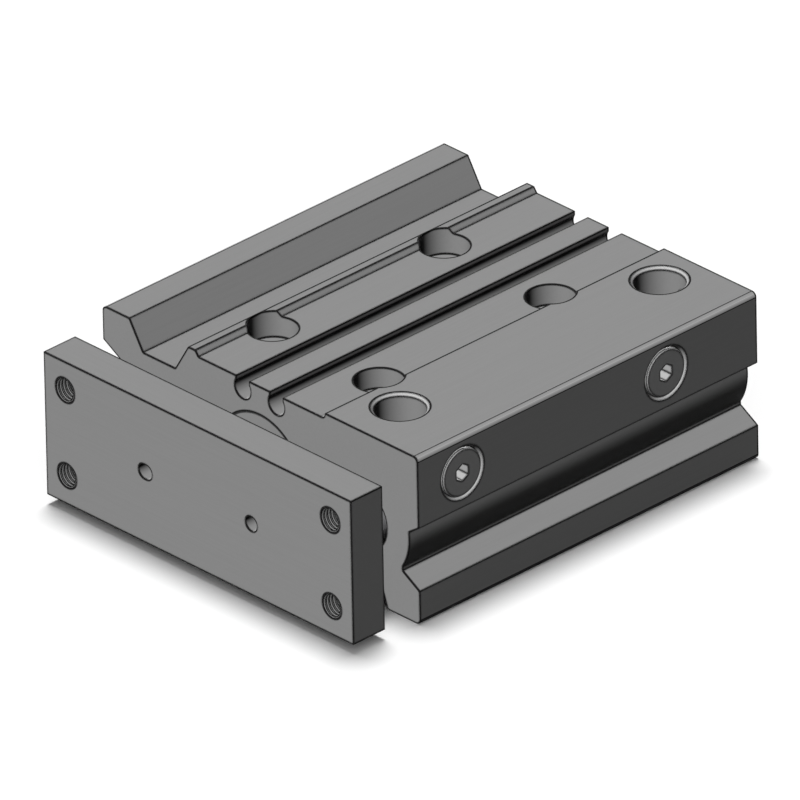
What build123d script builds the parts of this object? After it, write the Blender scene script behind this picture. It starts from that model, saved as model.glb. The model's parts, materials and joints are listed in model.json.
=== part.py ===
from build123d import *
import math
import os

# Compact guided cylinder, 20 mm bore and 50 mm stroke, with two guide rods in plain bearings.
# Millimetres. X runs across the width, Y from the plate (front) to the rear, Z up.
# The origin is under the middle of the retracted cylinder, on the face that it rests on.

# Stroke and plate
stroke = 50.0
end_clear = 0.1
plate_width = 81.0
plate_height = 30.0
plate_thick = 8.0
plate_gap = 8.0

# Body block
body_width = 83.0
body_height = 35.0
body_length = 87.0
axis_z = 17.0
corner_r = 1.0
guide_pitch = 54.0

# Section of the body
recess_depth = 1.1
recess_left = -16.1
recess_right = 16.0
recess_rise = 1.3
ridge_foot = 0.8
ridge_outer = -18.8
trough_outer = -34.4
trough_floor_left = -30.9
trough_floor_right = -22.4
trough_depth = 5.9
waist_r = 12.0
right_lip_z = 20.2
right_lip_meet_z = 18.45
left_lip_z = 27.9
left_lip_meet_z = 24.75
waist_low_z = 10.45
shelf_z = 9.77
foot_z = 7.1
foot_trough_half = 6.0
foot_trough_floor_half = 4.05

# Switch grooves in the top
groove_spacing = 8.9
groove_r = 2.1
groove_mouth = 3.4

# Bolt holes through the body
bolt_spacing_x = 28.0
bolt_spacing_y = 44.0
bolt_first_y = 17.0
bolt_hole_d = 5.4
bolt_head_d = 9.5
bolt_head_depth = 5.5
bolt_thread_d = 6.0
bolt_thread_depth = 12.0

# Ports and plugs
port_d = 9.73
port_mouth_d = 11.0
port_depth = 7.5
port_x = 25.3
port_front_y = 11.4
port_rear_y = 78.0
side_port_below_top = 7.6
side_port_rear_y = 63.6
side_port_depth = 7.0
plug_chamfer = 0.25
plug_length = 6.0
plug_hex = 3.0
plug_hex_depth = 3.0
air_d = 3.0
air_below_top = 5.5
air_end_x = 3.0
air_end_z = 22.6
gallery_x = 27.0
ball_d = 4.0

# Holes in the base and the rear face
base_pin_d = 3.0
base_pin_depth = 6.0
pin_slot_length = 3.5
rear_thread_d = 5.0
rear_thread_depth = 13.0
rear_thread_edge = 5.5
rear_spacing_z = 24.0

# Holes in the plate
plate_thread_d = 5.0
plate_thread_edge_x = 5.5
plate_thread_edge_z = 6.0
plate_pin_spacing = 28.0
plate_pin_d = 3.0

# Cylinder bore, covers and seals
bore_d = 20.0
cover_d = 22.0
ring_setback = 1.0
ring_thick = 1.1
ring_groove_d = 23.0
ring_width = 1.9
ring_gap_deg = 46.0
lock_ring_place = 4.5
lock_ring_width = 1.2
lock_ring_clear = 0.1
collar_length = 9.9
head_flange = 4.0
cover_boss_d = 17.0
front_boss = 3.2
rear_boss = 3.5
bumper_d = 16.6
bumper_thick = 1.2
gasket_section = 1.8
gasket_groove = 2.3
gasket_from_inner = 1.4

# Piston rod and piston
rod_d = 10.0
rod_spigot_d = 8.0
rod_spigot_length = 6.0
rod_run_clear = 0.03
bushing_wall = 1.0
rod_seal_od = 15.0
rod_seal_length = 3.0
rod_seal_setback = 0.5
piston_clear = 0.2
rod_tail_d = 6.0
screw_d = 3.0
screw_length = 9.0
screw_head_d = 6.0
screw_head_depth = 2.0
screw_hex = 2.0
piston_groove_d = 14.6
seal_width = 2.4
wear_width = 2.0
magnet_width = 2.2
piston_ring_clear = 0.05
groove_side_clear = 0.1

# Guide rods and their bearings
guide_rod_d = 12.0
guide_spigot_d = 9.0
guide_spigot_length = 6.0
guide_rod_setback = 3.0
guide_tip_chamfer = 0.8
bearing_od = 16.0
bearing_length = 22.0
bearing_run_clear = 0.03
lip_thick = 1.5
lip_clear = 0.15
wiper_thick = 2.0
wiper_run_clear = 0.05
guide_ring_groove_d = 17.0
guide_ring_width = 1.5

# Places that follow from the sizes above
total_length = plate_thick + plate_gap + body_length
plate_front = -total_length / 2
plate_back = plate_front + plate_thick
front = plate_back + plate_gap
rear = front + body_length
half_width = body_width / 2
guide_x = guide_pitch / 2
floor_z = body_height - recess_depth
trough_z = body_height - trough_depth
side_port_z = body_height - side_port_below_top
air_z = body_height - air_below_top
plate_spacing_x = plate_width - 2 * plate_thread_edge_x
plate_spacing_z = plate_height - 2 * plate_thread_edge_z
rear_spacing_x = body_width - 2 * rear_thread_edge
lock_ring_start = front + lock_ring_place
rod_seal_start = front + rod_seal_setback
bushing_start = rod_seal_start + rod_seal_length
cover_seat_rear = rear - ring_setback - ring_thick
collar_inner = front + collar_length
collar_tip = collar_inner + front_boss
head_inner = cover_seat_rear - head_flange
head_tip = head_inner - rear_boss
piston_rear = head_tip - bumper_thick - end_clear
piston_front = collar_tip + bumper_thick + end_clear + stroke
piston_length = piston_rear - piston_front
piston_d = bore_d - 2 * piston_clear
lip_inner = front + lip_thick
front_bearing_start = lip_inner + wiper_thick
rear_bearing_end = rear - ring_setback - ring_thick
rear_bearing_start = rear_bearing_end - bearing_length


def rod_along_y(radius, start, end, x=0.0, z=axis_z):
    return Pos(x, (start + end) / 2, z) * Rot(90, 0, 0) * Cylinder(radius, end - start)


def rod_along_x(radius, start, end, y, z):
    return Pos((start + end) / 2, y, z) * Rot(0, 90, 0) * Cylinder(radius, end - start)


def rod_along_z(radius, start, end, x, y):
    return Pos(x, y, (start + end) / 2) * Cylinder(radius, end - start)


def turned(points, x=0.0):
    """A turned part about a lengthwise axis, from its half outline of (radius, y) points."""
    outline = make_face(Polyline(*points, close=True))
    return Pos(x, 0, axis_z) * revolve(outline, Axis.Y, 360)


def tube_along_y(inner, outer, start, end, x=0.0):
    return turned([(inner, start), (outer, start), (outer, end), (inner, end)], x)


def waist_point(side, z):
    """The point of the waist at this height: it is round about the guide rod's axis."""
    reach = math.sqrt(waist_r**2 - (z - axis_z) ** 2)
    return (side * (guide_x + reach), z)


def side_edges(side, lip_z, meet_z):
    """One side of the section, from the top corner down to the bottom corner."""
    low = waist_point(side, waist_low_z)
    middle = waist_point(side, (meet_z + waist_low_z) / 2)
    return [
        Line((side * half_width, body_height), (side * half_width, lip_z)),
        Line((side * half_width, lip_z), waist_point(side, meet_z)),
        ThreePointArc(waist_point(side, meet_z), middle, low),
        Line(low, (low[0], shelf_z)),
        Line((low[0], shelf_z), (side * half_width, foot_z)),
        Line((side * half_width, foot_z), (side * half_width, 0)),
    ]


def top_edges():
    """The top of the section, from the left corner to the right one."""
    rise_start = (recess_right, floor_z)
    rise_end = (recess_right + recess_rise, body_height)
    sag = 0.25
    rise_middle = (recess_right + recess_rise * (0.5 + sag), floor_z + recess_depth * (0.5 - sag))
    flats = Polyline(
        (-half_width, body_height),
        (trough_outer, body_height),
        (trough_floor_left, trough_z),
        (trough_floor_right, trough_z),
        (ridge_outer, body_height),
        (recess_left - ridge_foot, body_height),
        (recess_left, floor_z),
        rise_start,
    )
    return [flats, ThreePointArc(rise_start, rise_middle, rise_end), Line(rise_end, (half_width, body_height))]


def foot_trough(side):
    """The lengthwise trough under one guide rod."""
    x = side * guide_x
    return make_face(
        Polyline(
            (x - foot_trough_half, 0),
            (x - foot_trough_floor_half, trough_depth),
            (x + foot_trough_floor_half, trough_depth),
            (x + foot_trough_half, 0),
            close=True,
        )
    )


def switch_groove(side):
    """A round-bottomed groove with a narrower mouth, for a position switch."""
    x = side * groove_spacing / 2
    middle_z = floor_z - groove_r
    mouth = Pos(x, middle_z + groove_r / 2) * Rectangle(groove_mouth, groove_r)
    return Pos(x, middle_z) * Circle(groove_r) + mouth


def body_section():
    edges = top_edges()
    edges += side_edges(1, right_lip_z, right_lip_meet_z)
    edges += side_edges(-1, left_lip_z, left_lip_meet_z)
    edges.append(Line((-half_width, 0), (half_width, 0)))
    section = make_face(edges)
    corners = [v for v in section.vertices() if abs(abs(v.X) - half_width) < corner_r / 10]
    corners = [v for v in corners if v.Y < corner_r / 10 or v.Y > body_height - corner_r / 10]
    section = fillet(corners, corner_r)
    for side in (-1, 1):
        section -= foot_trough(side)
        section -= switch_groove(side)
    return section


def ring_groove(start, seat_d, groove_d, x=0.0):
    return tube_along_y(seat_d / 4, groove_d / 2, start, start + ring_thick, x)


def cylinder_cavity():
    """The bore with its two wider seats and their ring grooves."""
    cavity = rod_along_y(bore_d / 2, front, rear)
    cavity += rod_along_y(cover_d / 2, front, collar_inner)
    cavity += rod_along_y(cover_d / 2, head_inner, rear)
    cavity += ring_groove(lock_ring_start, cover_d, ring_groove_d)
    cavity += ring_groove(cover_seat_rear, cover_d, ring_groove_d)
    return cavity


def guide_cavity(side):
    """A guide bore: open at the rear, with a thin lip in front."""
    x = side * guide_x
    cavity = rod_along_y(bearing_od / 2, lip_inner, rear, x)
    cavity += rod_along_y(guide_rod_d / 2 + lip_clear, front, lip_inner, x)
    cavity += ring_groove(rear_bearing_end, bearing_od, guide_ring_groove_d, x)
    return cavity


def bolt_cavity(x, y):
    """A bolt hole: a head seat on top, a plain hole and a tapped stretch below."""
    cavity = rod_along_z(bolt_hole_d / 2, 0, body_height, x, y)
    cavity += rod_along_z(bolt_head_d / 2, body_height - bolt_head_depth, body_height, x, y)
    cavity += rod_along_z(bolt_thread_d / 2, 0, bolt_thread_depth, x, y)
    return cavity


def port_cavity(depth):
    """A port that opens upwards at the origin, with its mouth chamfer."""
    chamfer_depth = (port_mouth_d - port_d) / 2
    hole = Pos(0, 0, -depth / 2) * Cylinder(port_d / 2, depth)
    mouth = Pos(0, 0, -chamfer_depth / 2) * Cone(port_d / 2, port_mouth_d / 2, chamfer_depth)
    return hole + mouth


def side_ports():
    return [front + port_front_y, front + side_port_rear_y]


def air_passages():
    """Ports, the drillings that join them to the bore, and the lengthwise gallery."""
    half_air = air_d / 2
    passages = None
    for y in (front + port_front_y, front + port_rear_y):
        port = Pos(port_x, y, body_height) * port_cavity(port_depth)
        start = Vector(port_x, y, body_height - port_depth + half_air)
        end = Vector(air_end_x, y, air_end_z)
        slant = Plane(origin=start, z_dir=end - start) * Pos(0, 0, (end - start).length / 2)
        passages = port if passages is None else passages + port
        passages += slant * Cylinder(half_air, (end - start).length)
    for y in side_ports():
        passages += Pos(half_width, y, side_port_z) * Rot(0, 90, 0) * port_cavity(side_port_depth)
        passages += rod_along_x(half_air, port_x, half_width - side_port_depth, y, air_z)
    gallery_start = front + side_port_rear_y
    passages += rod_along_y(half_air, gallery_start, rear, gallery_x, air_z)
    passages += rod_along_y(ball_d / 2, rear - ball_d, rear, gallery_x, air_z)
    return passages


def pin_slot(diameter, length, depth):
    """A locating slot that is cut down from the origin, longer across the width."""
    return extrude(SlotOverall(length, diameter), -depth)


def cylinder_body():
    body = Plane.XZ.offset(-rear) * body_section()
    body = extrude(body, body_length, dir=(0, -1, 0))
    body -= cylinder_cavity()
    for side in (-1, 1):
        body -= guide_cavity(side)
        for row in (0, 1):
            body -= bolt_cavity(side * bolt_spacing_x / 2, front + bolt_first_y + row * bolt_spacing_y)
        for level in (-1, 1):
            x = side * rear_spacing_x / 2
            z = axis_z + level * rear_spacing_z / 2
            body -= rod_along_y(rear_thread_d / 2, rear - rear_thread_depth, rear, x, z)
    body -= air_passages()
    pin_y = front + bolt_first_y + bolt_spacing_y / 2
    body -= rod_along_z(base_pin_d / 2, 0, base_pin_depth, bolt_spacing_x / 2, pin_y)
    slot = pin_slot(base_pin_d, pin_slot_length, base_pin_depth)
    body -= Pos(-bolt_spacing_x / 2, pin_y, base_pin_depth) * slot
    return body


def end_plate():
    middle_y = (plate_front + plate_back) / 2
    plate = Pos(0, middle_y, axis_z) * Box(plate_width, plate_thick, plate_height)
    for side in (-1, 1):
        for level in (-1, 1):
            x = side * plate_spacing_x / 2
            z = axis_z + level * plate_spacing_z / 2
            plate -= rod_along_y(plate_thread_d / 2, plate_front, plate_back, x, z)
        socket_start = plate_back - guide_spigot_length
        plate -= rod_along_y(guide_spigot_d / 2, socket_start, plate_back, side * guide_x)
    plate -= rod_along_y(rod_spigot_d / 2, plate_back - rod_spigot_length, plate_back)
    plate -= rod_along_y(plate_pin_d / 2, plate_front, plate_back, plate_pin_spacing / 2)
    slot = Rot(90, 0, 0) * pin_slot(plate_pin_d, pin_slot_length, plate_thick)
    plate -= Pos(-plate_pin_spacing / 2, plate_front, axis_z) * slot
    return plate


def guide_rod(side):
    radius = guide_rod_d / 2
    spigot = guide_spigot_d / 2
    tip = rear - guide_rod_setback
    return turned(
        [
            (0, plate_back - guide_spigot_length),
            (spigot, plate_back - guide_spigot_length),
            (spigot, plate_back),
            (radius, plate_back),
            (radius, tip - guide_tip_chamfer),
            (radius - guide_tip_chamfer, tip),
            (0, tip),
        ],
        side * guide_x,
    )


def piston_rod():
    radius = rod_d / 2
    spigot = rod_spigot_d / 2
    tail = rod_tail_d / 2
    tip = piston_rear - screw_head_depth
    rod = turned(
        [
            (0, plate_back - rod_spigot_length),
            (spigot, plate_back - rod_spigot_length),
            (spigot, plate_back),
            (radius, plate_back),
            (radius, piston_front),
            (tail, piston_front),
            (tail, tip),
            (0, tip),
        ]
    )
    return rod - rod_along_y(screw_d / 2, tip - screw_length, tip)


def piston_grooves():
    """Start and width of the three grooves round the piston: seal, magnet and wear ring."""
    widths = [seal_width, magnet_width, wear_width]
    land = (piston_length - sum(widths)) / (len(widths) + 1)
    starts = []
    place = piston_front + land
    for width in widths:
        starts.append((place, width))
        place += width + land
    return starts


def piston():
    made = tube_along_y(rod_tail_d / 2, piston_d / 2, piston_front, piston_rear)
    for start, width in piston_grooves():
        made -= tube_along_y(piston_groove_d / 2, bore_d / 2, start, start + width)
    made -= rod_along_y(screw_head_d / 2 + groove_side_clear, piston_rear - screw_head_depth, piston_rear)
    return made


def piston_ring(index, reach):
    """A plain ring in one of the piston's grooves, with side clearance."""
    start, width = piston_grooves()[index]
    low = start + groove_side_clear
    return tube_along_y(piston_groove_d / 2, reach, low, start + width - groove_side_clear)


def piston_seal():
    """A lip seal: both edges flare out towards the bore."""
    start, width = piston_grooves()[0]
    low = start + groove_side_clear
    high = start + width - groove_side_clear
    middle = (low + high) / 2
    reach = bore_d / 2 - piston_ring_clear
    inner = piston_groove_d / 2
    waist = reach - 3 * piston_ring_clear
    return turned([(inner, low), (reach, low), (waist, middle), (reach, high), (inner, high)])


def piston_screw():
    seat = piston_rear - screw_head_depth
    screw = rod_along_y(screw_head_d / 2, seat, piston_rear)
    screw += rod_along_y(screw_d / 2, seat - screw_length, seat)
    socket = Rot(90, 0, 0) * extrude(RegularPolygon(screw_hex / 2, 6, major_radius=False), screw_head_depth / 2)
    return screw - Pos(0, piston_rear, axis_z) * socket


def gasket_start(inner, towards):
    """Front edge of a gasket groove that lies near the inner end of a cover."""
    return inner - gasket_from_inner - gasket_groove if towards > 0 else inner + gasket_from_inner


def gasket_ring(inner, towards):
    """A seal ring of square section, in the middle of its groove."""
    start = gasket_start(inner, towards) + (gasket_groove - gasket_section) / 2
    return tube_along_y(cover_d / 2 - gasket_section, cover_d / 2, start, start + gasket_section)


def gasket_cut(inner, towards):
    start = gasket_start(inner, towards)
    return tube_along_y(cover_d / 2 - gasket_section, cover_d / 2, start, start + gasket_groove)


def front_collar():
    """The rod end's cover: flush with the body, and held by a lock ring in a groove round it."""
    seat = rod_d / 2 + bushing_wall
    collar = turned(
        [
            (rod_seal_od / 2, front),
            (cover_d / 2, front),
            (cover_d / 2, collar_inner),
            (cover_boss_d / 2, collar_inner),
            (cover_boss_d / 2, collar_tip),
            (seat, collar_tip),
            (seat, bushing_start),
            (rod_seal_od / 2, bushing_start),
        ]
    )
    lock_seat = ring_groove_d / 2 - lock_ring_width - lock_ring_clear
    collar -= tube_along_y(lock_seat, cover_d / 2, lock_ring_start, lock_ring_start + ring_thick)
    return collar - gasket_cut(collar_inner, 1)


def head_cover():
    cover = turned(
        [
            (0, head_tip),
            (cover_boss_d / 2, head_tip),
            (cover_boss_d / 2, head_inner),
            (cover_d / 2, head_inner),
            (cover_d / 2, cover_seat_rear),
            (0, cover_seat_rear),
        ]
    )
    return cover - gasket_cut(head_inner, -1)


def rod_seal():
    """A lip seal round the rod, with its open side towards the pressure."""
    inner = rod_d / 2 + rod_run_clear
    outer = rod_seal_od / 2
    notch = (outer - inner) / 4
    middle = (inner + outer) / 2
    return turned(
        [
            (inner, rod_seal_start),
            (outer, rod_seal_start),
            (outer, bushing_start),
            (middle + notch, bushing_start),
            (middle, bushing_start - rod_seal_length / 2),
            (middle - notch, bushing_start),
            (inner, bushing_start),
        ]
    )


def split_ring(outer, width):
    """A flat ring with a gap at the bottom."""
    gap = math.radians(ring_gap_deg / 2)
    reach = 2 * outer
    wedge = Polyline(
        (0, 0),
        (-reach * math.sin(gap), -reach * math.cos(gap)),
        (reach * math.sin(gap), -reach * math.cos(gap)),
        close=True,
    )
    return Circle(outer) - Circle(outer - width) - make_face(wedge)


def ring_solid(flat, start, x=0.0):
    sheet = Plane.XZ.offset(-start - ring_thick) * flat
    return Pos(x, 0, axis_z) * extrude(sheet, ring_thick, dir=(0, -1, 0))


def retaining_ring(start, groove_d, width, x=0.0):
    """A sprung ring with an eyed lug at each end."""
    outer = groove_d / 2
    lug_r = width * 0.8
    lug_place = outer - width - lug_r / 3
    gap = math.radians(ring_gap_deg / 2)
    ring = split_ring(outer, width)
    for side in (-1, 1):
        turn = gap + lug_r / lug_place
        place = Pos(side * lug_place * math.sin(turn), -lug_place * math.cos(turn))
        ring += place * Circle(lug_r)
        ring -= place * Circle(lug_r / 2)
    return ring_solid(ring, start, x)


def port_plug(y):
    """A flush plug with a hexagon socket that has two of its flats upright."""
    radius = port_d / 2
    plug = Cylinder(radius, plug_length, align=(Align.CENTER, Align.CENTER, Align.MAX))
    plug = chamfer(plug.edges().sort_by(Axis.Z)[-1], plug_chamfer)
    hexagon = RegularPolygon(plug_hex / 2, 6, major_radius=False)
    plug -= Pos(0, 0, -plug_hex_depth) * extrude(hexagon, plug_hex_depth)
    return Pos(half_width, y, side_port_z) * Rot(0, 90, 0) * plug


def save(name, shape):
    export_step(shape, "parts/" + name + ".step")


def save_sides(name, make):
    """Saves the left and the right one of a piece that comes in a pair."""
    for word, side in (("left", -1), ("right", 1)):
        save(name + "_" + word, make(side))


def guide_tube(inner, start, end):
    return lambda side: tube_along_y(inner, bearing_od / 2, start, end, side * guide_x)


os.makedirs("parts", exist_ok=True)

save("cylinder_body", cylinder_body())
save("end_plate", end_plate())
save_sides("guide_rod", guide_rod)
save("piston_rod", piston_rod())
save("piston", piston())
save("piston_seal", piston_seal())
save("piston_magnet", piston_ring(1, piston_d / 2))
save("wear_ring", piston_ring(2, bore_d / 2 - piston_ring_clear))
save("piston_screw", piston_screw())

save("front_collar", front_collar())
save("collar_gasket", gasket_ring(collar_inner, 1))
save("rod_seal", rod_seal())
bushing_inner = rod_d / 2 + rod_run_clear
save("rod_bushing", tube_along_y(bushing_inner, rod_d / 2 + bushing_wall, bushing_start, collar_tip))
lock_ring = split_ring(ring_groove_d / 2, lock_ring_width)
save("front_retaining_ring", ring_solid(lock_ring, lock_ring_start))
bumper_inner = rod_d / 2 + bushing_wall
save("front_bumper", tube_along_y(bumper_inner, bumper_d / 2, collar_tip, collar_tip + bumper_thick))
save("rear_bumper", tube_along_y(bumper_inner, bumper_d / 2, head_tip - bumper_thick, head_tip))
save("head_cover", head_cover())
save("head_gasket", gasket_ring(head_inner, -1))
save("rear_retaining_ring", retaining_ring(cover_seat_rear, ring_groove_d, ring_width))

bearing_inner = guide_rod_d / 2 + bearing_run_clear
wiper_inner = guide_rod_d / 2 + wiper_run_clear
front_bearing_end = front_bearing_start + bearing_length
save_sides("guide_wiper", guide_tube(wiper_inner, lip_inner, front_bearing_start))
save_sides("guide_bearing_front", guide_tube(bearing_inner, front_bearing_start, front_bearing_end))
save_sides("guide_bearing_rear", guide_tube(bearing_inner, rear_bearing_start, rear_bearing_end))
save_sides(
    "guide_retaining_ring",
    lambda side: retaining_ring(rear_bearing_end, guide_ring_groove_d, guide_ring_width, side * guide_x),
)

plug_y_front, plug_y_rear = side_ports()
save("port_plug_front", port_plug(plug_y_front))
save("port_plug_rear", port_plug(plug_y_rear))
save("gallery_ball", Pos(gallery_x, rear - ball_d / 2, air_z) * Sphere(ball_d / 2))
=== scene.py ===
import bmesh
import bpy
import json
import math
from mathutils import Matrix, Vector


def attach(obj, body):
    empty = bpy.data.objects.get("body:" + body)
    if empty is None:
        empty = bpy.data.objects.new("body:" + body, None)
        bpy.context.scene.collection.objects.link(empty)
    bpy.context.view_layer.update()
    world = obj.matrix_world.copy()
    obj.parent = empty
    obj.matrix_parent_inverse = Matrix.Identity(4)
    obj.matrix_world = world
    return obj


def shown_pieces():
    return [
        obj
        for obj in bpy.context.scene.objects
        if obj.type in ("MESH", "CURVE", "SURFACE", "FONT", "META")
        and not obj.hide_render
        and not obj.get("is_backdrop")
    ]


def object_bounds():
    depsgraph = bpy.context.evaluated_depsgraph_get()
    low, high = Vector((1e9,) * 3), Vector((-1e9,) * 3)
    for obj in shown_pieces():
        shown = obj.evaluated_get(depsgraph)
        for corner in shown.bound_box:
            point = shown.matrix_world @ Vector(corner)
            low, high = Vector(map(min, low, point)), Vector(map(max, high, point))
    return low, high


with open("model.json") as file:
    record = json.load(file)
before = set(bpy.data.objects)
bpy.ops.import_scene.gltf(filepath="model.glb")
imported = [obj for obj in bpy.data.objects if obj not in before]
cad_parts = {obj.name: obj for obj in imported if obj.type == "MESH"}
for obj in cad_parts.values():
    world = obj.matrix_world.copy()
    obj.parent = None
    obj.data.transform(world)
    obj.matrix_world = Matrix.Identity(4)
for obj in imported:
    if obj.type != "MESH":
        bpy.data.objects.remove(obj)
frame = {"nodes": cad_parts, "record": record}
cad_low, cad_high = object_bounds()

MM = 0.001

# The photograph is a parallel projection. A very long lens comes close to it.
VIEW_RIGHT = Vector((0.696657, 0.717207, -0.017167))
VIEW_UP = Vector((-0.338275, 0.349492, 0.873743))
VIEW_AHEAD = Vector((-0.632652, 0.602896, -0.486086))
CAMERA_PLACE = Vector((3879.408, -3696.882, 2997.538)) * MM
LENS = 1500.0
SENSOR = 36.0
CLIP_START = 0.1
CLIP_END = 100.0

# Light: one key light from the front and above that casts no shadows, weak fill, a back light for
# the faces that turn away, and two lights for the floor alone. The one from overhead casts the
# soft dark line under the lower edges. The other shines along the view from a wide angle, so most
# of its shadow is hidden, and it keeps that line from going black.
KEY_FROM = Vector((0.12, -0.65, 0.75))
KEY_STRENGTH = 4.05
KEY_ANGLE_DEG = 8.0
FILL_LEVEL = 0.028
BACK_FROM = Vector((-0.723, 0.69, 0.0))
BACK_STRENGTH = 2.0
FLOOR_FROM = Vector((-0.104, 0.09, 1.0))
FLOOR_STRENGTH = 2.8
FLOOR_ANGLE_DEG = 17.0
FLOOR_FRONT_STRENGTH = 1.3
FLOOR_FRONT_ANGLE_DEG = 75.0

# The floor's own colour, and the darker one that light bounced off it takes up.
FLOOR_COLOUR = 0.97
FLOOR_BOUNCE = 0.02
FLOOR_SIZE = 12.0

# Edge lines of the machined parts, as in the photograph.
EDGE_RADIUS = 0.7 * MM
EDGE_SAMPLES = 8
EDGE_SOFT = (0.998, 0.985)
THREAD_EDGE_RADIUS = 0.4 * MM

# The body's corners are rounded. A line runs where each round meets a flat, and painted shade
# darkens a band low on the lower ones.
CORNER_X = 41.5 * MM
CORNER_TOP = 35.0 * MM
CORNER_R = 1.0 * MM
CORNER_LINE = 0.22 * MM
# Height of the band of painted shade on the lower rounds.
FOOT_SHADE_HEIGHT = 0.5 * MM

# Lengthwise edges of the top that are too blunt for the edge mask, and the side their line is on.
TOP_EDGES = ((17.3 * MM, 1), (-16.9 * MM, -1), (-18.8 * MM, 1))
TOP_LINE = 0.34 * MM

# The body's rear edges are seen from in front, so their line lies wholly before the rear face.
BODY_REAR = 51.5 * MM
REAR_LINE = 0.3 * MM

# Rims of the holes in the top. Four of them lie in a recess that is less deep than RIM_DEPTH.
COUNTERBORE_R = 4.75 * MM
PORT_RIM_R = 5.5 * MM
RIM_LINE = 0.3 * MM
RIM_DEPTH = 1.3 * MM

# Chamfers at 45 degrees get a painted highlight: a lighter colour on faces near the top and the
# right side whose normal lies near 45 degrees.
CHAMFER_NORMAL = 0.7071
CHAMFER_TOLERANCE = 0.03
CHAMFER_REACH = 0.5 * MM

# Rounds and socket walls take up this share of the painted highlight colour.
ROUND_SHARE = 0.6
SOCKET_SHARE = 0.6

# Limits on one component of the normal, which tell how a surface faces.
FACES_OUT = 0.2
FACES_FULLY_OUT = 0.85
FACES_UP = 0.6
FACES_BACK = 0.5
FACES_ALONG = 0.3

# Colours, and the directions that the grain of a surface is stretched in.
WHITE = (1.0, 1.0, 1.0, 1.0)
GREY = (0.27, 0.27, 0.27)
# The painted highlight colour, lighter than GREY, laid on chamfers, rounds and socket walls.
PAINTED_HIGHLIGHT = (0.52, 0.52, 0.52)
LENGTHWISE = (1.0, 0.02, 1.0)
SIDEWAYS = (0.02, 1.0, 1.0)
AROUND = (0.05, 1.0, 0.05)

# Grain: its detail, the part of the noise that counts, and how far it moves other values.
GRAIN_DETAIL = 4.0
GRAIN_SPAN = (0.3, 0.7)
# The next value is the darker end of the grain on the painted highlight, as a share of its colour.
CHAMFER_GRAIN = 0.97
ROUGH_SPREAD = 0.05
RELIEF_DEPTH = 0.02 * MM

# Threads: diameter and pitch, and the lengths of the ridges.
PLATE_THREAD = (5.0 * MM, 0.8 * MM)
BASE_THREAD = (6.0 * MM, 1.0 * MM)
PLATE_THREAD_LENGTH = 8.0 * MM
BODY_THREAD_LENGTH = 12.0 * MM

# A ridge has THREAD_STEPS sections in a turn. Its foot lies a little way into the wall, its height
# and half width are shares of the pitch, it starts THREAD_LEAD_IN turns before the mouth, and it
# thins out to THREAD_LEAST of its height.
THREAD_STEPS = 40
THREAD_FOOT_SHARE = 1.004
THREAD_DEPTH_SHARE = 0.54
THREAD_HALF_WIDTH = 0.47
THREAD_LEAD_IN = 0.95
THREAD_LEAST = 0.02


def make_camera():
    data = bpy.data.cameras.new("camera")
    data.lens = LENS
    data.sensor_width = SENSOR
    data.clip_start = CLIP_START
    data.clip_end = CLIP_END
    camera = bpy.data.objects.new("camera", data)
    bpy.context.scene.collection.objects.link(camera)
    camera.location = CAMERA_PLACE
    camera.rotation_mode = "QUATERNION"
    turn = Matrix((VIEW_RIGHT, VIEW_UP, -VIEW_AHEAD)).transposed()
    camera.rotation_quaternion = turn.to_quaternion()
    bpy.context.scene.camera = camera


def make_sun(name, direction, strength, angle_deg, receivers):
    data = bpy.data.lights.new(name, "SUN")
    data.energy = strength
    data.angle = math.radians(angle_deg)
    light = bpy.data.objects.new(name, data)
    bpy.context.scene.collection.objects.link(light)
    light.rotation_mode = "QUATERNION"
    light.rotation_quaternion = direction.to_track_quat("Z", "Y")
    group = bpy.data.collections.new(name + "_receivers")
    for receiver in receivers:
        group.objects.link(receiver)
    light.light_linking.receiver_collection = group
    return data


def make_object_light(name, direction, strength):
    """A sun for the object alone, which casts no shadow and isn't passed on."""
    data = make_sun(name, direction, strength, KEY_ANGLE_DEG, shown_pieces())
    data.use_shadow = False
    data.cycles.max_bounces = 0


def link(tree, source, target):
    tree.links.new(source, target)


def new_material(name):
    material = bpy.data.materials.new(name)
    material.use_nodes = True
    material.node_tree.nodes.clear()
    return material, material.node_tree


def maths(tree, operation, *values):
    """A maths node's result; each value is a number or another node's output."""
    node = tree.nodes.new("ShaderNodeMath")
    node.operation = operation
    for place, value in enumerate(values):
        if isinstance(value, (int, float)):
            node.inputs[place].default_value = value
        else:
            link(tree, value, node.inputs[place])
    return node.outputs["Value"]


def either(tree, first, *others):
    """The highest of several masks."""
    for other in others:
        first = maths(tree, "MAXIMUM", first, other)
    return first


def both(tree, first, *others):
    """The product of several masks."""
    for other in others:
        first = maths(tree, "MULTIPLY", first, other)
    return first


def direct_rays(tree):
    """1 for camera, glossy and transmission rays, which see a surface at its own level."""
    rays = tree.nodes.new("ShaderNodeLightPath")
    return either(tree, *[rays.outputs[name] for name in
                          ("Is Camera Ray", "Is Glossy Ray", "Is Transmission Ray")])


def split_by_rays(tree, seen, unseen, out):
    """Shows seen to direct rays and unseen to all others."""
    mix = tree.nodes.new("ShaderNodeMixShader")
    link(tree, direct_rays(tree), mix.inputs["Fac"])
    link(tree, unseen, mix.inputs[1])
    link(tree, seen, mix.inputs[2])
    link(tree, mix.outputs["Shader"], out.inputs["Surface"])


def background(tree, strength):
    node = tree.nodes.new("ShaderNodeBackground")
    node.inputs["Color"].default_value = WHITE
    node.inputs["Strength"].default_value = strength
    return node.outputs["Background"]


def matt(tree, level):
    node = tree.nodes.new("ShaderNodeBsdfDiffuse")
    node.inputs["Color"].default_value = (level, level, level, 1.0)
    return node.outputs["BSDF"]


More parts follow.
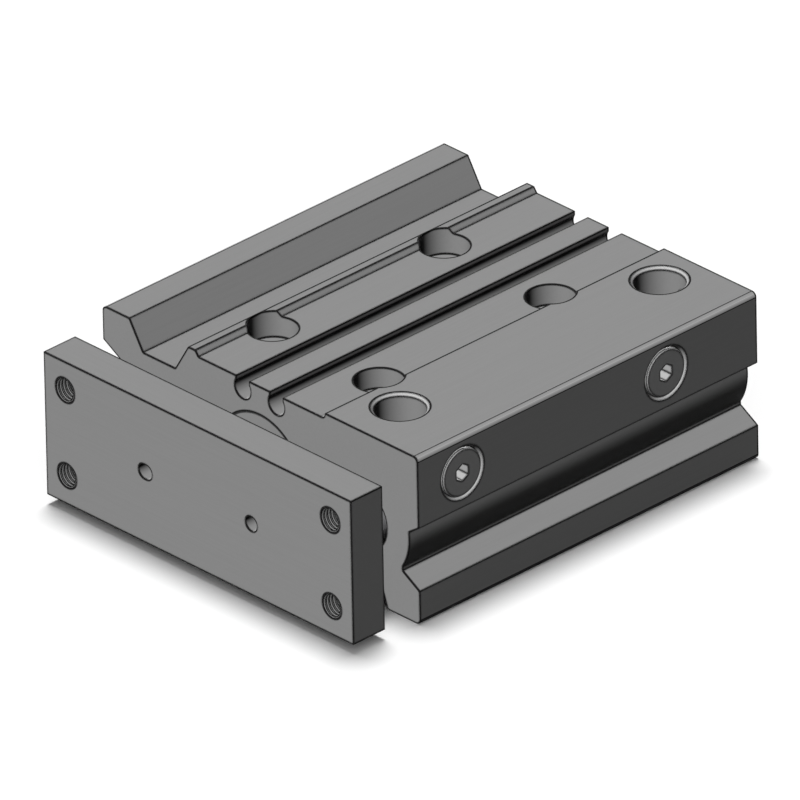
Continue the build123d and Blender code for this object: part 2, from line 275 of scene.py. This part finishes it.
def make_world():
    world = bpy.data.worlds.new("studio")
    world.use_nodes = True
    tree = world.node_tree
    tree.nodes.clear()
    out = tree.nodes.new("ShaderNodeOutputWorld")
    split_by_rays(tree, background(tree, 1.0), background(tree, FILL_LEVEL), out)
    bpy.context.scene.world = world


def make_floor():
    bpy.ops.mesh.primitive_plane_add(size=FLOOR_SIZE, location=(0, 0, cad_low.z))
    floor = bpy.context.object
    floor.name = "floor"
    material, tree = new_material("pale_floor")
    out = tree.nodes.new("ShaderNodeOutputMaterial")
    split_by_rays(tree, matt(tree, FLOOR_COLOUR), matt(tree, FLOOR_BOUNCE), out)
    floor.data.materials.append(material)
    floor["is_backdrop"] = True
    return floor


def edge_mask(tree, radius):
    """1 along sharp edges, within a part of the radius of them, and 0 on flats and round walls."""
    bevel = tree.nodes.new("ShaderNodeBevel")
    bevel.samples = EDGE_SAMPLES
    bevel.inputs["Radius"].default_value = radius
    geometry = tree.nodes.new("ShaderNodeNewGeometry")
    dot = tree.nodes.new("ShaderNodeVectorMath")
    dot.operation = "DOT_PRODUCT"
    link(tree, bevel.outputs["Normal"], dot.inputs[0])
    link(tree, geometry.outputs["Normal"], dot.inputs[1])
    scale = tree.nodes.new("ShaderNodeMapRange")
    scale.inputs["From Min"].default_value = EDGE_SOFT[0]
    scale.inputs["From Max"].default_value = EDGE_SOFT[1]
    link(tree, dot.outputs["Value"], scale.inputs["Value"])
    return scale.outputs["Result"]


def part_space(tree, kind):
    """The X, Y and Z of a point or of its normal, in the part's own space."""
    place = tree.nodes.new("ShaderNodeTexCoord")
    split = tree.nodes.new("ShaderNodeSeparateXYZ")
    link(tree, place.outputs[kind], split.inputs["Vector"])
    return [split.outputs[axis] for axis in "XYZ"]


def corner_lines(tree):
    """1 on the lines where the body's rounded corners meet its flats."""
    x, _, z = part_space(tree, "Object")
    x = maths(tree, "ABSOLUTE", x)
    half = CORNER_LINE / 2
    at_top = maths(tree, "GREATER_THAN", z, CORNER_TOP - half)
    top = both(tree, at_top, maths(tree, "COMPARE", x, CORNER_X - CORNER_R, half))
    at_side = maths(tree, "GREATER_THAN", x, CORNER_X - half)
    high = maths(tree, "COMPARE", z, CORNER_TOP - CORNER_R, half)
    low = maths(tree, "COMPARE", z, CORNER_R, half)
    return either(tree, top, both(tree, at_side, either(tree, high, low)))


def top_lines(tree):
    """1 along the blunt lengthwise edges of the body's top."""
    x, _, z = part_space(tree, "Object")
    half = TOP_LINE / 2
    lines = [maths(tree, "COMPARE", x, place + turn * half, half) for place, turn in TOP_EDGES]
    at_top = maths(tree, "GREATER_THAN", z, CORNER_TOP - CORNER_LINE / 2)
    return both(tree, at_top, either(tree, *lines))


def foot_shade(tree):
    """Painted shade: 1 low on the body's lower round corners, on faces that turn outward."""
    x, _, z = part_space(tree, "Object")
    normal_x, _, _ = part_space(tree, "Normal")
    low = maths(tree, "LESS_THAN", z, FOOT_SHADE_HEIGHT)
    outside = maths(tree, "GREATER_THAN", maths(tree, "ABSOLUTE", x), CORNER_X - CORNER_R)
    outward = maths(tree, "GREATER_THAN", maths(tree, "ABSOLUTE", normal_x), FACES_OUT)
    return both(tree, low, outside, outward)


def rear_lines(tree):
    """1 within a line's width of the body's rear face, and 0 on the face."""
    _, y, _ = part_space(tree, "Object")
    _, normal_y, _ = part_space(tree, "Normal")
    near = maths(tree, "GREATER_THAN", y, BODY_REAR - REAR_LINE)
    return both(tree, near, maths(tree, "LESS_THAN", normal_y, FACES_BACK))


def top_holes():
    """Centre and rim radius of each hole in the body's top."""
    places, _ = bolt_places("body_bolts")
    holes = [(place.x, place.y, COUNTERBORE_R) for place in places]
    for name in ("front_port", "rear_port"):
        x, y, _ = mount_row(name)["pos_m"]
        holes.append((x, y, PORT_RIM_R))
    return holes


def rim_lines(tree):
    """1 on narrow rings round the mouths of the holes in the body's top."""
    x, y, z = part_space(tree, "Object")
    _, _, normal_z = part_space(tree, "Normal")
    half = RIM_LINE / 2
    rings = []
    for centre_x, centre_y, radius in top_holes():
        across = maths(tree, "POWER", maths(tree, "SUBTRACT", x, centre_x), 2.0)
        along = maths(tree, "POWER", maths(tree, "SUBTRACT", y, centre_y), 2.0)
        distance = maths(tree, "SQRT", maths(tree, "ADD", across, along))
        rings.append(maths(tree, "COMPARE", distance, radius + half, half))
    upward = maths(tree, "GREATER_THAN", normal_z, FACES_UP)
    high = maths(tree, "GREATER_THAN", z, CORNER_TOP - RIM_DEPTH)
    return both(tree, either(tree, *rings), upward, high)


def chamfer_highlights(tree):
    """1 on the ports' 45-degree faces in the top and in the right side, which get a painted
    highlight.
    """
    x, _, z = part_space(tree, "Object")
    normal_x, _, normal_z = part_space(tree, "Normal")
    found = []
    for place, limit, normal in ((z, CORNER_TOP, normal_z), (x, CORNER_X, normal_x)):
        near = maths(tree, "GREATER_THAN", place, limit - CHAMFER_REACH)
        slanted = maths(tree, "COMPARE", normal, CHAMFER_NORMAL, CHAMFER_TOLERANCE)
        found.append(both(tree, near, slanted))
    return either(tree, *found)


def round_highlights(tree):
    """Painted highlight: rises from 0 to ROUND_SHARE round the body's top corners."""
    x, _, z = part_space(tree, "Object")
    normal_x, _, _ = part_space(tree, "Normal")
    outside = maths(tree, "GREATER_THAN", maths(tree, "ABSOLUTE", x), CORNER_X - CORNER_R)
    above = maths(tree, "GREATER_THAN", z, CORNER_TOP - CORNER_R)
    rise = tree.nodes.new("ShaderNodeMapRange")
    rise.inputs["From Min"].default_value = FACES_OUT
    rise.inputs["From Max"].default_value = FACES_FULLY_OUT
    rise.inputs["To Max"].default_value = ROUND_SHARE
    link(tree, maths(tree, "ABSOLUTE", normal_x), rise.inputs["Value"])
    return both(tree, outside, above, rise.outputs["Result"])


def socket_highlights(tree):
    """Painted highlight of SOCKET_SHARE on the plugs' walls that stand square to their faces, and
    0 elsewhere.
    """
    normal_x, _, _ = part_space(tree, "Normal")
    wall = maths(tree, "LESS_THAN", maths(tree, "ABSOLUTE", normal_x), FACES_ALONG)
    return both(tree, wall, SOCKET_SHARE)


def blended(tree, factor, first, second):
    mix = tree.nodes.new("ShaderNodeMix")
    mix.data_type = "RGBA"
    link(tree, factor, mix.inputs["Factor"])
    link(tree, first, mix.inputs["A"])
    link(tree, second, mix.inputs["B"])
    return mix.outputs["Result"]


def noise(tree, stretch, scale_per_m):
    """Noise in the part's own space, stretched along its axes."""
    place = tree.nodes.new("ShaderNodeTexCoord")
    mapping = tree.nodes.new("ShaderNodeMapping")
    mapping.inputs["Scale"].default_value = stretch
    link(tree, place.outputs["Object"], mapping.inputs["Vector"])
    grain = tree.nodes.new("ShaderNodeTexNoise")
    grain.inputs["Scale"].default_value = scale_per_m
    grain.inputs["Detail"].default_value = GRAIN_DETAIL
    link(tree, mapping.outputs["Vector"], grain.inputs["Vector"])
    return grain.outputs["Fac"]


def shaded(tree, factor, low, high):
    """A colour that runs from low to high with factor."""
    ramp = tree.nodes.new("ShaderNodeValToRGB")
    for stop, position, colour in zip(ramp.color_ramp.elements, GRAIN_SPAN, (low, high)):
        stop.position = position
        stop.color = (*colour, 1.0)
    link(tree, factor, ramp.inputs["Fac"])
    return ramp.outputs["Color"]


def scaled(colour, factor):
    return tuple(channel * factor for channel in colour)


def surface(name, colour, rough, metallic=0.0, specular=0.3, stretch=(1, 1, 1), grain=2500.0,
            variation=0.03, bump=0.05, edge=None, radius=EDGE_RADIUS, highlight_colour=None, corners=False,
            sockets=False):
    """A fine-grained surface.

    edge is the share of its colour that is left along sharp edges and in the band of painted shade
    low on the body's lower round corners, and highlight_colour the colour of the painted highlight
    on its 45-degree faces. corners says whether it has the body's own lines, that painted shade
    and painted highlights on its round corners, and sockets whether its socket walls get a painted
    highlight.
    """
    material, tree = new_material(name)
    out = tree.nodes.new("ShaderNodeOutputMaterial")
    shader = tree.nodes.new("ShaderNodeBsdfPrincipled")
    shader.inputs["Metallic"].default_value = metallic
    shader.inputs["Specular IOR Level"].default_value = specular
    fine = noise(tree, stretch, grain)
    body = shaded(tree, fine, scaled(colour, 1 - variation), scaled(colour, 1 + variation))
    # Painted highlight: a lighter colour on 45-degree faces, and on the round corners and socket
    # walls where corners and sockets ask for it.
    if highlight_colour is not None:
        highlight_mask = chamfer_highlights(tree)
        if corners:
            highlight_mask = either(tree, highlight_mask, round_highlights(tree))
        if sockets:
            highlight_mask = either(tree, highlight_mask, socket_highlights(tree))
        highlight_ramp = shaded(tree, fine, scaled(highlight_colour, CHAMFER_GRAIN), highlight_colour)
        body = blended(tree, highlight_mask, body, highlight_ramp)
    # Dark edge lines, and on the body also a band of painted shade low on its lower rounds.
    if edge is not None:
        lines_and_shade = edge_mask(tree, radius)
        if corners:
            lines_and_shade = either(tree, lines_and_shade, corner_lines(tree), top_lines(tree), foot_shade(tree),
                          rear_lines(tree), rim_lines(tree))
        line = scaled(colour, edge)
        body = blended(tree, lines_and_shade, body, shaded(tree, fine, line, line))
    link(tree, body, shader.inputs["Base Color"])
    rough_range = tree.nodes.new("ShaderNodeMapRange")
    rough_range.inputs["To Min"].default_value = rough - ROUGH_SPREAD
    rough_range.inputs["To Max"].default_value = rough + ROUGH_SPREAD
    link(tree, fine, rough_range.inputs["Value"])
    link(tree, rough_range.outputs["Result"], shader.inputs["Roughness"])
    relief = tree.nodes.new("ShaderNodeBump")
    relief.inputs["Strength"].default_value = bump
    relief.inputs["Distance"].default_value = RELIEF_DEPTH
    link(tree, fine, relief.inputs["Height"])
    link(tree, relief.outputs["Normal"], shader.inputs["Normal"])
    link(tree, shader.outputs["BSDF"], out.inputs["Surface"])
    return material


def make_materials():
    """One material for each of the record's slots."""
    looks = {
        # The body has painted highlights on chamfers and top rounds, and painted shade low on its
        # lower rounds.
        "body_aluminium": dict(colour=GREY, rough=0.6, specular=0.02, stretch=LENGTHWISE,
                               variation=0.02, edge=0.05, highlight_colour=PAINTED_HIGHLIGHT, corners=True),
        "plate_steel": dict(colour=GREY, rough=0.6, specular=0.02, stretch=SIDEWAYS,
                            variation=0.02, edge=0.05),
        "rod_chrome": dict(colour=(0.42, 0.42, 0.43), rough=0.3, metallic=0.35, stretch=AROUND,
                           variation=0.02, bump=0.02, edge=0.15),
        # The plugs have painted highlights on chamfers and socket walls.
        "plug_steel": dict(colour=GREY, rough=0.5, specular=0.08, grain=1800.0, edge=0.1,
                           highlight_colour=PAINTED_HIGHLIGHT, sockets=True),
        "inner_aluminium": dict(colour=GREY, rough=0.55, specular=0.15, stretch=AROUND,
                                edge=0.12),
        "bronze": dict(colour=(0.45, 0.27, 0.12), rough=0.55, metallic=0.5, grain=4000.0,
                       variation=0.12, bump=0.3, edge=0.3),
        "ring_steel": dict(colour=(0.16, 0.16, 0.165), rough=0.45, metallic=0.3,
                           variation=0.06, edge=0.3),
        "seal_rubber": dict(colour=(0.03, 0.03, 0.03), rough=0.7, grain=3000.0, bump=0.15),
        "magnet": dict(colour=(0.07, 0.07, 0.08), rough=0.6, grain=3500.0, variation=0.1),
        "wear_plastic": dict(colour=(0.6, 0.57, 0.48), rough=0.5, grain=1200.0),
        "felt": dict(colour=(0.42, 0.38, 0.3), rough=0.95, grain=2600.0, variation=0.25,
                     bump=0.6),
    }
    return {name: surface(name, **look) for name, look in looks.items()}


def dress_nodes(materials):
    for row in frame["record"]["subparts"]:
        node = frame["nodes"][row["node"]]
        node.data.materials.clear()
        node.data.materials.append(materials[row["material_slot"]])


def thread_point(angle, radius, along):
    return Vector((radius * math.cos(angle), radius * math.sin(angle), along))


def thread_mesh(name, diameter, pitch, length):
    """An inside thread's ridge: a three-sided section that winds along +Z from the origin.

    Its first turn starts outside the mouth and is cut off level with it.
    """
    wall = diameter / 2 * THREAD_FOOT_SHARE
    crest = diameter / 2 - THREAD_DEPTH_SHARE * pitch
    half = pitch * THREAD_HALF_WIDTH
    count = int((length / pitch - 1 + THREAD_LEAD_IN) * THREAD_STEPS)
    mesh = bmesh.new()
    rings = []
    for step in range(count + 1):
        turn = step / THREAD_STEPS - THREAD_LEAD_IN
        middle = pitch * (0.5 + turn)
        fade = max(THREAD_LEAST, min(1.0, (count - step) / THREAD_STEPS * 2))
        cut = min(1.0, max(0.0, -middle / half))
        top = wall + (crest - wall) * fade * (1 - cut)
        profile = ((wall, middle - half), (top, middle), (wall, middle + half))
        angle = 2 * math.pi * turn
        rings.append([mesh.verts.new(thread_point(angle, radius, max(0.0, along)))
                      for radius, along in profile])
    for now, after in zip(rings, rings[1:]):
        for k in range(3):
            other = (k + 1) % 3
            mesh.faces.new((now[k], after[k], after[other], now[other]))
    mesh.faces.new(rings[0])
    mesh.faces.new(reversed(rings[-1]))
    bmesh.ops.recalc_face_normals(mesh, faces=mesh.faces)
    data = bpy.data.meshes.new(name)
    mesh.to_mesh(data)
    mesh.free()
    return data


def add_thread(name, size, length, mouth, inward, body, material):
    diameter, pitch = size
    piece = bpy.data.objects.new(name, thread_mesh(name, diameter, pitch, length))
    bpy.context.scene.collection.objects.link(piece)
    piece.data.materials.append(material)
    piece.location = mouth
    piece.rotation_mode = "QUATERNION"
    piece.rotation_quaternion = inward.to_track_quat("Z", "Y")
    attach(piece, body)


def mount_row(name):
    """The record's row for one mount."""
    return next(mount for mount in frame["record"]["mounts"] if mount["name"] == name)


def bolt_places(name):
    """The four hole centres of one of the record's bolt patterns."""
    mount = mount_row(name)
    centre = Vector(mount["pos_m"])
    out = Vector(mount["axis"])
    first = Vector((1, 0, 0))
    second = Vector((0, 1, 0)) if abs(out.z) > FACES_UP else Vector((0, 0, 1))
    half_x = mount["dims"]["spacing_x_mm"] * MM / 2
    half_y = mount["dims"]["spacing_y_mm"] * MM / 2
    places = []
    for left in (-1, 1):
        for low in (-1, 1):
            places.append(centre + first * half_x * left + second * half_y * low)
    return places, -out


def make_threads():
    """A ridge in each tapped hole of plate, base and rear face."""
    shades = {}
    for slot_name in ("plate_steel", "body_aluminium"):
        shades[slot_name] = surface(slot_name + "_thread", GREY, 0.6, specular=0.02, grain=1800.0,
                                    edge=0.03, radius=THREAD_EDGE_RADIUS)
    runs = (
        ("plate", PLATE_THREAD, PLATE_THREAD_LENGTH, "carriage", "plate_steel"),
        ("base", BASE_THREAD, BODY_THREAD_LENGTH, "housing", "body_aluminium"),
        ("rear", PLATE_THREAD, BODY_THREAD_LENGTH, "housing", "body_aluminium"),
    )
    for where, size, length, body, slot_name in runs:
        places, inward = bolt_places(where + "_threads")
        for number, mouth in enumerate(places, 1):
            name = where + "_thread_" + str(number)
            add_thread(name, size, length, mouth, inward, body, shades[slot_name])


bpy.context.scene.view_settings.view_transform = "Standard"
make_camera()
make_world()
dress_nodes(make_materials())
make_threads()
floor = make_floor()
make_object_light("key_light", KEY_FROM, KEY_STRENGTH)
make_object_light("back_light", BACK_FROM, BACK_STRENGTH)
make_sun("floor_light", FLOOR_FROM, FLOOR_STRENGTH, FLOOR_ANGLE_DEG, [floor])
make_sun("floor_front_light", -VIEW_AHEAD, FLOOR_FRONT_STRENGTH, FLOOR_FRONT_ANGLE_DEG,
         [floor])
